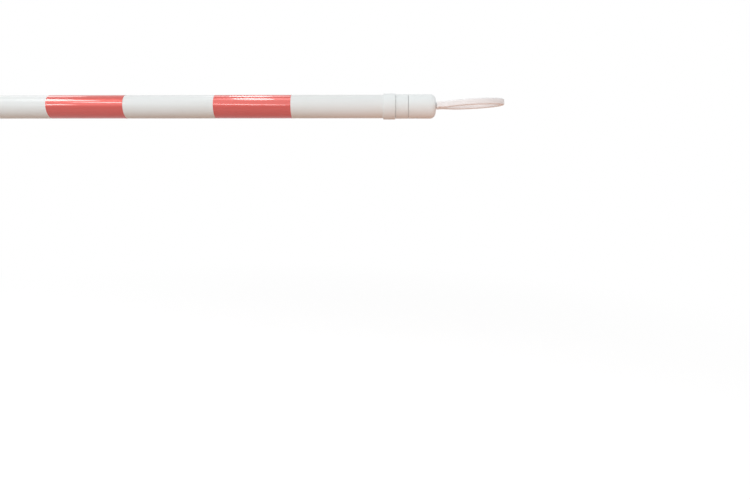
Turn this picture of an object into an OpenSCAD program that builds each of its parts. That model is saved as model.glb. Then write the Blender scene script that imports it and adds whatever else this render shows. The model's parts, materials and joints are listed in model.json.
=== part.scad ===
// Retractable barrier bar: a banded tube that telescopes, with a flat ring at each end.
// The bar runs along +X and is closed. The origin is the centre of the tail ring's bore.

/* [Outer tube] */
// Outer diameter of the outer tube
tube_od = 38; // [32:0.5:50]
// Wall of the outer tube
tube_wall = 2; // [1.5:0.1:3]
// Length of outer tube that shows between the tail cap and the lock collar
tube_show = 982; // [750:1:1600]

/* [Inner tube] */
// Radial room between the inner tube and the outer tube's bore, which the bushes fill
bush_room = 2; // [1.6:0.1:3]
// Wall of the inner tube
inner_wall = 1.8; // [1.2:0.1:2.5]
// Free length between the closed bar's inner end and the tail insert
tail_space = 12; // [4:1:100]

/* [Reflective bands] */
// Length of one red band
band_length = 127; // [60:1:200]
// White length between two red bands on the outer tube
band_gap = 149; // [60:1:250]
// Thickness of the reflective film
band_film = 0.25; // [0.1:0.05:0.4]

/* [Lock] */
// Thickness of the lock collar round the tube
collar_wall = 2; // [1:0.1:4]
// Length of the lock collar
collar_length = 20; // [14:0.5:40]
// Length of the lock ring
lock_length = 20.5; // [16:0.5:40]
// Gap at each seam between collar, lock ring and cap
seam_gap = 0.5; // [0.3:0.1:1]

/* [Bushes] */
// Length of the bush that guides the inner tube in the outer tube's mouth
guide_length = 30; // [15:1:80]
// Length of the bush that runs in the outer tube
stop_length = 25; // [12:1:60]

/* [End caps] */
// How far the caps and the lock ring stand out from the outer tube
cap_step = 0.6; // [0.2:0.1:1.5]
// Length of an end cap
cap_length = 45; // [38:0.5:70]
// Radius of an end cap's rounded end
cap_round = 9; // [2:0.5:11]
// Thickness of an end cap's end wall
cap_end_wall = 3.5; // [2:0.5:6]
// Depth of the socket that takes the tube
socket_depth = 30; // [22:1:34]

/* [Rings] */
// Diameter of the ring's hole
ring_bore = 86; // [60:1:140]
// Radial width of the ring
ring_width = 8.2; // [5:0.2:16]
// Thickness of the ring
ring_thick = 10; // [8:0.5:14]
// Radius along the ring's edges
ring_edge = 2; // [0.5:0.1:2.4]
// Angle by which the ring's plane rises from the bar's axis, in degrees
ring_tilt = 2.5; // [0:0.1:6]
// Height of the ring's plane over the bar's axis, at the cap's end
ring_rise = 1.6; // [0:0.1:2]
// Distance from the cap's end to the ring's outer edge
neck_length = 10; // [5:0.5:40]
// Width of the neck
neck_width = 48; // [30:1:70]
// Radius of the neck's corners at the cap
neck_round = 6; // [2:0.5:10]
// Radius of the fillets where the neck meets the ring
neck_fillet = 14; // [4:1:30]

/* [Screws] */
// Shank diameter of the cap screws
screw_d = 4; // [3:0.5:5]
// Head diameter of the cap screws
screw_head_d = 7.5; // [6:0.5:9]
// Head height of the cap screws
screw_head_h = 2.4; // [1.6:0.1:2.8]
// Distance of the screw from the cap's mouth
screw_setback = 12; // [9:0.5:18]

/* [Hidden] */
$fn = 96;

// Counts
bands = 3;
lock_lobes = 3;
collet_keys = 2;

// Clearances
overrun = 1;
run_clear = 0.15;
pass_clear = 0.35;
grip_clear = 0.2;
fit_clear = 0.1;
journal_clear = 0.08;
drag_clear = 0.05;
end_play = 0.2;

// Small sizes of the lock
edge_round = 0.6;
collar_web = 4;
spigot_wall = 1.9;
spigot_length = 6;
bead_rise = 0.4;
bead_width = 1.5;
bead_setback = 1.8;
land_rise = 0.5;
land_angle = 40;
bump_rise = 0.45;
bump_angle = 24;
collet_split = 3;
key_width = 5;
key_length = 2;
lip_length = 4;
wiper_width = 1.8;
wiper_seat = 1.4;

// Small sizes of the inner tube's tail
journal_step = 1.2;
plug_spigot = 20;
plug_wall = 3.5;
clip_thick = 1.4;
clip_depth = 0.8;
clip_rise = 2;
clip_land = 2;
clip_angle = 300;
drag_width = 2.4;
drag_depth = 1;

// Small sizes of the heads
insert_length = 30;
insert_wall = 1.4;
blade_step = 0.4;
blade_tail = 8;
blade_bite = 3;
screw_recess = 0.5;
blade_skin = 1.5;
screw_head_round = 1;
drive_width = 1;
drive_length = 4.4;
drive_depth = 1.3;

// Radii
tube_r = tube_od / 2;
bore_r = tube_r - tube_wall;
inner_r = bore_r - bush_room;
inner_bore_r = inner_r - inner_wall;
film_r = inner_r + band_film;
pass_r = film_r + pass_clear;
collar_r = tube_r + collar_wall;
cap_r = tube_r + cap_step;
spigot_r = pass_r + spigot_wall;
bead_r = spigot_r + bead_rise;
chamber_r = spigot_r + run_clear;
land_r = chamber_r - land_rise;
bump_r = land_r - run_clear;
collet_r = bump_r - bump_rise;
grip_r = film_r + grip_clear;
collet_mid_r = (grip_r + collet_r) / 2;
wiper_seat_r = pass_r + wiper_seat;
journal_r = inner_bore_r - journal_step;
stop_r = bore_r - run_clear;
drag_seat_r = stop_r - drag_depth;
ring_r = ring_bore / 2;
ring_out_r = ring_r + ring_width;
ring_mid_r = ring_r + ring_width / 2;
screw_r = screw_d / 2;
screw_head_r = screw_head_d / 2;
screw_seat_r = cap_r - screw_head_h - screw_recess;

// Blade and neck
blade_thick = ring_thick - 2 * (ring_rise + blade_step);
slot_half_thick = blade_thick / 2 + fit_clear;
slot_half_width = sqrt(pow(inner_bore_r - insert_wall, 2) - pow(slot_half_thick, 2));
blade_width = 2 * (slot_half_width - fit_clear);
blade_start = screw_setback - blade_tail;
screw_tip = blade_thick / 2 - blade_skin;
neck_half_width = neck_width / 2;
neck_root = ring_thick / 2 * tan(ring_tilt) + fit_clear;
ring_reach = neck_length + ring_out_r;
fillet_y = neck_half_width + neck_fillet;
fillet_x = ring_reach - sqrt(pow(ring_out_r + neck_fillet, 2) - pow(fillet_y, 2));

// Places along the bar
axis_z = -ring_reach * sin(ring_tilt) - ring_rise;
tail_mouth_x = ring_reach * cos(ring_tilt) + cap_length;
collar_x = tail_mouth_x + tube_show;
tube_end_x = collar_x + collar_length - collar_web;
collar_end_x = collar_x + collar_length;
lock_x = collar_end_x + seam_gap;
lip_x = lock_x + lock_length - lip_length;
head_mouth_x = lock_x + lock_length + seam_gap;
inner_end_x = head_mouth_x + socket_depth;
plug_x = tail_mouth_x + insert_length + tail_space;
stop_x = plug_x + clip_land + clip_thick + end_play;
inner_tail_x = stop_x + stop_length + end_play;
guide_x = tube_end_x - guide_length;
collet_x = collar_end_x + spigot_length + end_play;
wiper_x = lip_x + (lip_length - wiper_width) / 2;
drag_x = stop_x + (stop_length - drag_width) / 2;

// Travel of the inner tube, and the bands that it then shows
travel = guide_x - stop_x - stop_length - end_play;
band_margin = (tube_show - bands * band_length - (bands - 1) * band_gap) / 2;
inner_band_gap = (travel - bands * band_length) / (bands + 1);
echo(travel = travel, axis_z = axis_z);

// Frames: a piece of a head is drawn with the cap's mouth at 0 and its end towards +X
module on_axis(x) {
    translate([x, 0, axis_z]) children();
}

module at_head() {
    on_axis(head_mouth_x) children();
}

module at_tail() {
    on_axis(tail_mouth_x) mirror([1, 0, 0]) children();
}

// Turns a shape drawn along +Z so that it runs along +X
module along_bar() {
    rotate([0, 90, 0]) children();
}

// Round tube along +X
module sleeve(length, outer, inner) {
    along_bar() difference() {
        cylinder(h = length, r = outer);
        translate([0, 0, -overrun]) cylinder(h = length + 2 * overrun, r = inner);
    }
}

// Solid round bar along +X, used for plugs and for cuts
module rod(start, end, radius) {
    translate([start, 0, 0]) along_bar() cylinder(h = end - start, r = radius);
}

// Quarter of a disc, for the rounded corner of a turned profile
module corner(radius, side) {
    intersection() {
        circle(r = radius);
        translate([0, side > 0 ? 0 : -radius]) square(radius);
    }
}

// Turned profile from inner to outer radius with its two outer corners rounded
module soft_profile(inner, outer, length, start_round, end_round) {
    translate([inner, start_round]) square([outer - inner, length - start_round - end_round]);
    translate([inner, 0]) square([outer - inner - start_round, start_round]);
    translate([inner, length - end_round]) square([outer - inner - end_round, end_round]);
    translate([outer - start_round, start_round]) corner(start_round, -1);
    translate([outer - end_round, length - end_round]) corner(end_round, 1);
}

// Rectangle with four round corners, from 0 in width and centred in height
module round_section(width, height, radius) {
    translate([radius, -height / 2]) square([width - 2 * radius, height]);
    translate([0, radius - height / 2]) square([width, height - 2 * radius]);
    for (x = [radius, width - radius], y = [radius - height / 2, height / 2 - radius])
        translate([x, y]) circle(r = radius);
}

// Part of a turned ring, centred on an angle about the bar
module arc_ring(inner, outer, length, angle) {
    rotate([0, 0, -angle / 2]) rotate_extrude(angle = angle)
        translate([inner, 0]) square([outer - inner, length]);
}

// Cut for the screw's shank, straight up from below
module screw_hole(top) {
    translate([screw_setback, 0, -cap_r - overrun])
        cylinder(h = top + cap_r + overrun, r = screw_r + fit_clear);
}

// Cut for the ring's blade
module blade_slot(start, end) {
    translate([start, -slot_half_width, -slot_half_thick])
        cube([end - start, 2 * slot_half_width, 2 * slot_half_thick]);
}

// Pieces of the outer tube
module outer_tube() {
    color("whitesmoke") on_axis(tail_mouth_x) sleeve(tube_end_x - tail_mouth_x, tube_r, bore_r);
}

module outer_band(index) {
    x = tail_mouth_x + band_margin + (index - 1) * (band_length + band_gap);
    color("indianred") on_axis(x) sleeve(band_length, tube_r + band_film, tube_r);
}

module guide_bush() {
    color("gainsboro") on_axis(guide_x) sleeve(guide_length, bore_r, pass_r);
}

module lock_collar() {
    notch_depth = key_length + end_play;
    notch_width = key_width + 2 * fit_clear;
    color("whitesmoke") on_axis(collar_x) along_bar() difference() {
        rotate_extrude() {
            soft_profile(tube_r, collar_r, collar_length, edge_round, edge_round);
            translate([pass_r, collar_length - collar_web])
                square([collar_r - edge_round - pass_r, collar_web]);
            translate([pass_r, collar_length]) square([spigot_r - pass_r, spigot_length]);
            translate([pass_r, collar_length + bead_setback]) square([bead_r - pass_r, bead_width]);
        }
        translate([-bead_r, -notch_width / 2, collar_length + spigot_length - notch_depth])
            cube([2 * bead_r, notch_width, notch_depth + overrun]);
    }
}

module lock_collet() {
    collet_length = lip_x - end_play - collet_x;
    color("lightgray") on_axis(collet_x) along_bar() difference() {
        union() {
            cylinder(h = collet_length, r = collet_r);
            for (i = [0 : lock_lobes - 1])
                rotate([0, 0, i * 360 / lock_lobes])
                    arc_ring(collet_mid_r, bump_r, collet_length, bump_angle);
            for (i = [0 : collet_keys - 1]) rotate([0, 0, i * 360 / collet_keys]) intersection() {
                translate([0, -key_width / 2, -key_length])
                    cube([collet_r, key_width, key_length + overrun]);
                translate([0, 0, -key_length]) cylinder(h = key_length + overrun, r = collet_r);
            }
        }
        translate([0, 0, -key_length - overrun])
            cylinder(h = collet_length + key_length + 2 * overrun, r = grip_r);
        translate([-collet_split / 2, 0, -overrun])
            cube([collet_split, bump_r + overrun, collet_length + 2 * overrun]);
    }
}

// Pieces that turn to lock the inner tube
module lock_ring() {
    chamber = lock_length - lip_length;
    bead_start = bead_setback - seam_gap;
    land_start = spigot_length - seam_gap + end_play;
    color("whitesmoke") on_axis(lock_x) along_bar() {
        difference() {
            rotate_extrude() soft_profile(pass_r, cap_r, lock_length, edge_round, edge_round);
            translate([0, 0, -overrun]) cylinder(h = chamber + overrun, r = chamber_r);
            translate([0, 0, bead_start - end_play])
                cylinder(h = bead_width + 2 * end_play, r = bead_r + run_clear);
            translate([0, 0, wiper_x - lock_x - end_play])
                cylinder(h = wiper_width + 2 * end_play, r = wiper_seat_r);
        }
        for (i = [0 : lock_lobes - 1]) rotate([0, 0, i * 360 / lock_lobes])
            translate([0, 0, land_start])
                arc_ring(land_r, chamber_r + bead_rise, chamber - land_start + overrun, land_angle);
    }
}

module wiper_ring() {
    color("dimgray") on_axis(wiper_x)
        sleeve(wiper_width, wiper_seat_r - drag_clear, film_r + grip_clear);
}

// Pieces that slide in the outer tube
module stop_bush() {
    color("lightgray") on_axis(stop_x) along_bar() difference() {
        rotate_extrude()
            soft_profile(journal_r + journal_clear, stop_r, stop_length, edge_round, edge_round);
        translate([0, 0, (stop_length - drag_width) / 2 - drag_clear]) difference() {
            cylinder(h = drag_width + 2 * drag_clear, r = stop_r + overrun);
            cylinder(h = drag_width + 2 * drag_clear, r = drag_seat_r);
        }
    }
}

module drag_ring() {
    color("dimgray") on_axis(drag_x) sleeve(drag_width, bore_r - drag_clear, drag_seat_r);
}

// Pieces of the inner tube
module inner_tube() {
    color("whitesmoke") difference() {
        on_axis(inner_tail_x) sleeve(inner_end_x - inner_tail_x, inner_r, inner_bore_r);
        at_head() screw_hole(0);
    }
}

module inner_band(index) {
    x = head_mouth_x - travel + inner_band_gap + (index - 1) * (band_length + inner_band_gap);
    color("indianred") on_axis(x) sleeve(band_length, film_r, inner_r);
}

module inner_tail_plug() {
    plug_end = inner_tail_x + plug_spigot;
    color("lightgray") on_axis(0) difference() {
        union() {
            rod(plug_x, inner_tail_x + overrun, journal_r);
            rod(inner_tail_x, plug_end, inner_bore_r);
        }
        rod(plug_x + plug_wall, plug_end + overrun, journal_r - plug_wall);
        translate([plug_x + clip_land - drag_clear, 0, 0])
            sleeve(clip_thick + 2 * drag_clear, journal_r + overrun, journal_r - clip_depth);
    }
}

module retaining_clip() {
    color("silver") on_axis(plug_x + clip_land) along_bar()
        arc_ring(journal_r - clip_depth, journal_r + clip_rise, clip_thick, clip_angle);
}

// Pieces of a head
module end_cap() {
    difference() {
        along_bar() rotate_extrude() soft_profile(0, cap_r, cap_length, edge_round, cap_round);
        rod(-overrun, socket_depth, inner_r);
        rod(-overrun, cap_length - cap_end_wall, inner_bore_r);
        blade_slot(0, cap_length + overrun);
        screw_hole(0);
        translate([screw_setback, 0, -cap_r - overrun])
            cylinder(h = cap_r + overrun - screw_seat_r, r = screw_head_r + end_play);
    }
}

module neck_plan() {
    difference() {
        union() {
            translate([neck_root + neck_round, -neck_half_width])
                square([ring_reach - neck_root - neck_round, 2 * neck_half_width]);
            translate([neck_root, neck_round - neck_half_width])
                square([neck_round, neck_width - 2 * neck_round]);
            for (side = [-1, 1])
                translate([neck_root + neck_round, side * (neck_half_width - neck_round)])
                    circle(r = neck_round);
            for (side = [-1, 1]) difference() {
                polygon([[fillet_x, 0], [fillet_x, side * fillet_y], [ring_reach, 0]]);
                translate([fillet_x, side * fillet_y]) circle(r = neck_fillet);
            }
        }
        translate([ring_reach, 0]) circle(r = ring_mid_r);
        translate([neck_root - ring_reach, -ring_out_r]) square([ring_reach, 2 * ring_out_r]);
    }
}

module bar_ring() {
    difference() {
        union() {
            translate([cap_length, 0, ring_rise]) rotate([0, -ring_tilt, 0]) {
                translate([ring_reach, 0, 0]) rotate_extrude()
                    translate([ring_r, 0]) round_section(ring_width, ring_thick, ring_edge);
                linear_extrude(height = ring_thick, center = true) neck_plan();
            }
            translate([blade_start, -blade_width / 2, -blade_thick / 2])
                cube([cap_length + blade_bite - blade_start, blade_width, blade_thick]);
        }
        screw_hole(screw_tip + fit_clear);
    }
}

module cap_screw() {
    shank = screw_seat_r + screw_tip;
    translate([screw_setback, 0, -screw_seat_r]) {
        cylinder(h = shank, r = screw_r);
        mirror([0, 0, 1]) difference() {
            rotate_extrude()
                soft_profile(0, screw_head_r, screw_head_h, edge_round, screw_head_round);
            for (turn = [0, 90]) rotate([0, 0, turn])
                translate([-drive_length / 2, -drive_width / 2, screw_head_h - drive_depth])
                    cube([drive_length, drive_width, drive_depth + overrun]);
        }
    }
}

module head_insert() {
    color("lightgray") at_head() difference() {
        rod(socket_depth - insert_length, socket_depth, inner_bore_r);
        blade_slot(socket_depth - insert_length - overrun, socket_depth + overrun);
        screw_hole(0);
    }
}

module tail_insert() {
    color("lightgray") at_tail() difference() {
        union() {
            rod(-insert_length, 0, bore_r);
            rod(-overrun, socket_depth, inner_r);
        }
        blade_slot(blade_start - fit_clear, socket_depth + overrun);
        screw_hole(0);
    }
}

module head_cap() {
    color("whitesmoke") at_head() end_cap();
}

module tail_cap() {
    color("whitesmoke") at_tail() end_cap();
}

module head_ring() {
    color("whitesmoke") at_head() bar_ring();
}

module tail_ring() {
    color("whitesmoke") at_tail() bar_ring();
}

module head_screw() {
    color("dimgray") at_head() cap_screw();
}

module tail_screw() {
    color("dimgray") at_tail() cap_screw();
}

outer_tube();
outer_band(1);  // outer_band_1
outer_band(2);  // outer_band_2
outer_band(3);  // outer_band_3
lock_collar();
guide_bush();
lock_collet();
lock_ring();
wiper_ring();
stop_bush();
drag_ring();
inner_tube();
inner_band(1);  // inner_band_1
inner_band(2);  // inner_band_2
inner_band(3);  // inner_band_3
inner_tail_plug();
retaining_clip();
head_insert();
head_cap();
head_ring();
head_screw();
tail_insert();
tail_cap();
tail_ring();
tail_screw();
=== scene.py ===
import json
import math

import bmesh
import bpy
from bpy.props import FloatProperty, FloatVectorProperty, IntProperty, PointerProperty
from bpy.types import Node, NodeSocket, Operator, Panel, PropertyGroup
from mathutils import Matrix, Vector


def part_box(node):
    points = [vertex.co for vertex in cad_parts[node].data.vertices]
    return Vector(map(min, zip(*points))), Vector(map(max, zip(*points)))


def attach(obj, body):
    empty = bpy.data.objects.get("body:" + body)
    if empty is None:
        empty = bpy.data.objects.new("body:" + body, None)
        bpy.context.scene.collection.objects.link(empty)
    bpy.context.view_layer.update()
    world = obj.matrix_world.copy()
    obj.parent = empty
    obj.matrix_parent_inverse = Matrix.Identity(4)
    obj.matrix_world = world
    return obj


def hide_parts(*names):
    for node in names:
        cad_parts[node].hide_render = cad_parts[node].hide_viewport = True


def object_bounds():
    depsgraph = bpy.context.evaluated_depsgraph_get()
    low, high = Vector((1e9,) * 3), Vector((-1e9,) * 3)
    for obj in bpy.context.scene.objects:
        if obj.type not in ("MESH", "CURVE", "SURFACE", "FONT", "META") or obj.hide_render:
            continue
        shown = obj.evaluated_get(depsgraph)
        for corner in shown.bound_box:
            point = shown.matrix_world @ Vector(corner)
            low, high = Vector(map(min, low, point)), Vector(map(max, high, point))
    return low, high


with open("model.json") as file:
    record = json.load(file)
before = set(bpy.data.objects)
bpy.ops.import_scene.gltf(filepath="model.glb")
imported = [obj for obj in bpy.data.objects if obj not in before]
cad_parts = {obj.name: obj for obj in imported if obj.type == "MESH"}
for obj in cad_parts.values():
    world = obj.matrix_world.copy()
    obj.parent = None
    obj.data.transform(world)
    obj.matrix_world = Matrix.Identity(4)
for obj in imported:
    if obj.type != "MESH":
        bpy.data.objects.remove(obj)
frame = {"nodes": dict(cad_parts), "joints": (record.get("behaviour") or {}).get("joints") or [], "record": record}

bl_info = {
    "name": "Retractable barrier bar",
    "version": (1, 0, 0),
    "blender": (4, 5, 0),
    "location": "3D View > Sidebar > Bar",
    "description": "Builds the visual model of a telescoping banded bar round its CAD frame",
    "category": "Object",
}

CAD_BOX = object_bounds()
JOINTS = {joint["name"]: joint for joint in frame["joints"]}
MOUNTS = {mount["name"]: mount for mount in frame["record"]["mounts"]}
AXIS_Z = JOINTS["lock_twist"]["pos_m"][2]
# The bar's two ends and the bodies that they belong to
ENDS = {"head": "inner_bar", "tail": "outer_bar"}
MM = 0.001
SAME_POINT = 0.0005 * MM
ON_AXIS = 0.001 * MM
SHARP_ANGLE = math.radians(40.0)
PIN_STEPS = 64
WHITE = (1.0, 1.0, 1.0)
WARM = (1.0, 0.38, 0.22)


# Measures of the CAD frame

def span(node):
    """Ends of a CAD node along the bar"""
    low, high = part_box(node)
    return low.x, high.x


def middle_x(node):
    """Middle of a CAD node along the bar"""
    return sum(span(node)) / 2


def half_width(node):
    """Half the width of a CAD node across the bar"""
    low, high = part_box(node)
    return (high.y - low.y) / 2


def girth(node):
    """Largest radius of a CAD node about the bar's axis"""
    vertices = frame["nodes"][node].data.vertices
    return max(math.hypot(v.co.y, v.co.z - AXIS_Z) for v in vertices)


def inner_outer(end, piece):
    """Inner and outer end of a cap or a ring, and the sign of its outward direction"""
    low, high = span(f"{end}_{piece}")
    return (low, high, 1.0) if end == "head" else (high, low, -1.0)


RING_RADIUS = half_width("head_ring")
RING_BORE = MOUNTS["head_ring_bore"]["dims"]["r_mm"] * MM


# Settings that a user may change

def length(name, description, millimetres):
    """Length property, given in millimetres and kept in metres"""
    return FloatProperty(
        name=name, description=description, default=millimetres * MM,
        unit="LENGTH", subtype="DISTANCE", precision=5,
    )


def angle(name, description, degrees):
    """Angle property, given in degrees"""
    return FloatProperty(
        name=name, description=description, default=math.radians(degrees),
        unit="ROTATION", subtype="ANGLE",
    )


def count(name, description, default):
    """Whole number property"""
    return IntProperty(name=name, description=description, default=default, min=1)


def share(name, description, default):
    """Factor property"""
    return FloatProperty(name=name, description=description, default=default, subtype="FACTOR")


def colour(name, description, default):
    """Colour property in linear values"""
    return FloatVectorProperty(
        name=name, description=description, default=default, subtype="COLOR", min=0.0, max=1.0,
    )


class BarSizes(PropertyGroup):
    """Sizes of the visible pieces that the frame's boxes don't give"""

    turn_steps: count("Turn steps", "Faces round a turned piece", 128)
    corner_steps: count("Corner steps", "Faces across a rounded corner", 6)
    tube_wall: length("Tube wall", "Wall of the outer tube", 2.0)
    inner_wall: length("Inner wall", "Wall of the inner tube", 1.8)
    tube_edge: length("Tube edge", "Rounding of a tube's cut ends", 0.3)
    film_layer: length("Film layer", "Thickness of one layer of reflective film", 0.12)
    film_lap: angle("Film lap", "Angle over which a film's ends overlap", 24.0)
    film_lap_place: angle("Lap place", "Angle of the lap round the bar", 118.0)
    film_lap_drift: angle("Lap drift", "Largest random turn of a film's lap", 9.0)
    film_seed: count("Film seed", "Seed of the lap's drift", 7)
    collar_edge: length("Collar edge", "Rounding of the lock collar's rims", 0.9)
    collar_web: length("Collar web", "Length of the collar beyond the tube's end", 4.0)
    spigot_length: length("Spigot length", "Length of the collar's spigot in the lock ring", 6.0)
    spigot_radius: length("Spigot radius", "Radius of the collar's spigot", 17.5)
    bead_radius: length("Bead radius", "Radius of the spigot's snap bead", 17.9)
    bead_width: length("Bead width", "Length of the snap bead", 1.5)
    bead_setback: length("Bead setback", "Distance of the snap bead from the collar", 1.8)
    pass_radius: length("Pass radius", "Radius of the bores that the inner tube runs through", 15.6)
    lock_edge: length("Lock edge", "Rounding of the lock ring's rims", 0.45)
    lock_lip: length("Lock lip", "Length of the lock ring's lip", 4.0)
    run_gap: length("Run gap", "Radial gap between the lock ring and the spigot", 0.15)
    wiper_seat: length("Wiper seat", "Radius of the wiper's groove", 17.0)
    side_gap: length("Side gap", "Gap at each side of the wiper and the bead", 0.2)
    cap_edge: length("Cap edge", "Rounding of a cap's mouth", 0.2)
    cap_round: length("Cap round", "Rounding of a cap's end", 9.0)
    cap_end_wall: length("Cap end wall", "Thickness of a cap's end", 3.5)
    socket_depth: length("Socket depth", "Depth of the cap's socket for the tube", 30.0)
    slot_width: length("Slot width", "Width of the cap's slot for the blade", 22.77)
    slot_height: length("Slot height", "Height of the cap's slot for the blade", 6.2)
    ring_thick: length("Ring thickness", "Thickness of an end ring", 10.0)
    ring_rise: length("Ring rise", "Height of the ring's plane over the axis, at the cap", 1.6)
    ring_edge: length("Ring edge", "Rounding of an end ring's edges", 2.0)
    ring_steps: count("Ring steps", "Faces round an end ring", 160)
    neck_half: length("Neck half width", "Half the width of the neck", 24.0)
    neck_round: length("Neck round", "Rounding of the neck's corners at the cap", 6.0)
    neck_fillet: length("Neck fillet", "Radius where the neck flows into the ring", 14.0)
    neck_gap: length("Neck gap", "Gap between the neck and the cap's end", 0.32)
    blade_width: length("Blade width", "Width of the blade in the cap", 22.57)
    blade_height: length("Blade height", "Thickness of the blade in the cap", 6.0)
    blade_bite: length("Blade bite", "Length of the blade inside the neck", 3.0)
    mark_count: count("Pin marks", "Round moulding marks under an end ring", 10)
    mark_radius: length("Pin mark radius", "Radius of a round moulding mark", 2.2)
    mark_line: length("Mark line", "Half the thickness of the fine moulding lines", 0.09)
    screw_hole: length("Screw hole", "Radius of the hole for a screw's shank", 2.1)
    screw_shank: length("Screw shank", "Radius of a screw's shank", 2.0)
    head_room: length("Head room", "Radial gap round a screw's head", 0.2)
    head_height: length("Head height", "Height of a screw's head", 2.4)
    head_crown: length("Head crown", "Rounding of a screw's head", 1.3)
    drive_length: length("Drive length", "Length of the cross recess", 4.4)
    drive_width: length("Drive width", "Width of the cross recess", 1.0)
    drive_depth: length("Drive depth", "Depth of the cross recess", 1.3)


class BarColours(PropertyGroup):
    """Colours of the finishes, in linear values"""

    tube_white: colour("Tube white", "Extruded white tube", (0.835, 0.855, 0.855))
    tube_aged: colour("Aged white", "Tube where light has yellowed it", (0.805, 0.82, 0.805))
    moulding_white: colour("Moulding white", "Moulded white plastic", (0.83, 0.86, 0.86))
    moulding_flow: colour("Flow white", "Moulded plastic in its flow marks", (0.80, 0.825, 0.825))
    # Painted light: the end rings' two whites are brighter and warmer than the moulding whites, standing for extra
    # light that falls on the rings
    ring_lit_white: colour("Ring white", "Whiter plastic of the end rings", (0.905, 0.89, 0.895))
    ring_lit_flow: colour("Ring flow white", "End rings in their flow marks", (0.88, 0.865, 0.87))
    scuff_grey: colour("Scuff grey", "Rubbed marks on white plastic", (0.42, 0.41, 0.39))
    # Painted shade and dust: this colour darkens the plastic beside the seams, standing for the shade in the gaps
    # as well as dust
    seam_dirt_and_shade: colour("Seam dirt", "Dust that settles at seams", (0.36, 0.33, 0.29))
    film_red: colour("Film red", "Red reflective film", (0.65, 0.096, 0.080))
    film_deep: colour("Film deep red", "Film between its glass beads", (0.61, 0.084, 0.070))
    grey_plastic: colour("Natural plastic", "Unpainted moulded plastic", (0.62, 0.63, 0.64))
    felt: colour("Felt", "Pressed felt", (0.22, 0.22, 0.23))
    rubber: colour("Rubber", "Black rubber", (0.03, 0.03, 0.032))
    steel: colour("Steel", "Zinc plated steel", (0.40, 0.40, 0.39))
    floor: colour("Floor", "Pale floor as the camera sees it", (0.9, 0.9, 0.9))
    bounce_near: colour("Near bounce", "Light from the floor under the bar", (0.52, 0.31, 0.21))
    bounce_far: colour("Far bounce", "Light from the rest of the floor", (0.38, 0.43, 0.43))


class StageSettings(PropertyGroup):
    """Camera, light and floor"""

    camera_x: length("Camera place", "Camera's place along the bar", 1090.1)
    camera_back: length("Camera distance", "Camera's distance in front of the bar", 1019.8)
    camera_drop: length("Camera drop", "Camera's height below the origin", 84.57)
    camera_pitch: angle("Camera pitch", "Angle by which the camera looks down", 8.94)
    camera_turn: angle("Camera turn", "Angle by which the camera looks along the bar", 0.88)
    camera_lens: FloatProperty(
        name="Lens", description="Focal length in millimetres", default=28.8,
    )
    camera_sensor: FloatProperty(
        name="Sensor", description="Width of the sensor in millimetres", default=36.0,
    )
    floor_drop: length("Floor drop", "Floor's depth below the bar", 640.0)
    floor_half: length("Floor half", "Half the side of the floor", 9000.0)
    sky_level: share("Sky level", "Light of the plain white surroundings", 0.73)
    floor_lift: share("Floor lift", "Glow that brings the floor up to white", 0.25)
    bounce_start: length("Bounce start", "Distance where the warm bounce starts to fade", 200.0)
    bounce_end: length("Bounce end", "Distance where the warm bounce ends", 1200.0)
    fade_start: length("Fade start", "Distance where the floor starts to turn white", 900.0)
    fade_end: length("Fade end", "Distance from which the floor is plain white", 2200.0)


# Nodes

def feed(tree, node, inputs):
    """Sets inputs, by name or place, to values, sockets or the first output of other nodes"""
    for key, value in inputs.items():
        source = value.outputs[0] if isinstance(value, Node) else value
        if isinstance(source, NodeSocket):
            tree.links.new(source, node.inputs[key])
        else:
            node.inputs[key].default_value = source


def add(tree, kind, inputs=None, **settings):
    """Adds a node with its settings and inputs"""
    node = tree.nodes.new(kind)
    for key, value in settings.items():
        setattr(node, key, value)
    feed(tree, node, inputs or {})
    return node


def add_math(tree, operation, first, second=0.0):
    """Adds a math node and returns its result"""
    return add(tree, "ShaderNodeMath", {0: first, 1: second}, operation=operation).outputs[0]


def combined(tree, x=0.0, y=0.0, z=0.0):
    """Adds a node that makes a vector of three values"""
    return add(tree, "ShaderNodeCombineXYZ", {"X": x, "Y": y, "Z": z})


def add_range(tree, value, low, high, start=0.0, end=1.0, kind="SMOOTHSTEP"):
    """Adds a ramp from start to end between two levels of a value"""
    return add(tree, "ShaderNodeMapRange", {
        "Value": value, "From Min": low, "From Max": high, "To Min": start, "To Max": end,
    }, interpolation_type=kind)


def add_noise(tree, vector, **inputs):
    """Adds a noise texture"""
    return add(tree, "ShaderNodeTexNoise", {"Vector": vector, **inputs})


# Places of a colour Mix node's sockets, which share their names with its other kinds
MIX_MASK, MIX_FIRST, MIX_SECOND, MIX_RESULT = 0, 6, 7, 2


def blend(tree, first, second, mask):
    """Mixes two colours by a mask"""
    inputs = {MIX_MASK: mask, MIX_FIRST: first, MIX_SECOND: second}
    return add(tree, "ShaderNodeMix", inputs, data_type="RGBA").outputs[MIX_RESULT]


def rgba(values):
    """Colour as a socket's value"""
    return (*values, 1.0)


VECTOR = "NodeSocketVector"
GEOMETRY = "NodeSocketGeometry"
MATERIAL = "NodeSocketMaterial"
SOCKETS = {float: "NodeSocketFloat", int: "NodeSocketInt"}
RESULTS = {"GeometryNodeTree": GEOMETRY, "ShaderNodeTree": SOCKETS[float]}


def new_group(name, kind, inputs, outputs):
    """New node group, and its inputs by name: each has a default, or only a kind of socket"""
    tree = bpy.data.node_groups.new(name, kind)
    for label, default in inputs.items():
        socket_type = SOCKETS.get(type(default), default)
        socket = tree.interface.new_socket(label, in_out="INPUT", socket_type=socket_type)
        if socket_type != default:
            socket.default_value = default
    for label in outputs:
        tree.interface.new_socket(label, in_out="OUTPUT", socket_type=RESULTS[kind])
    return tree, tree.nodes.new("NodeGroupInput").outputs


def tree_named(name):
    """A node group that is built once"""
    return bpy.data.node_groups.get(name) or TREES[name](name)


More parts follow.
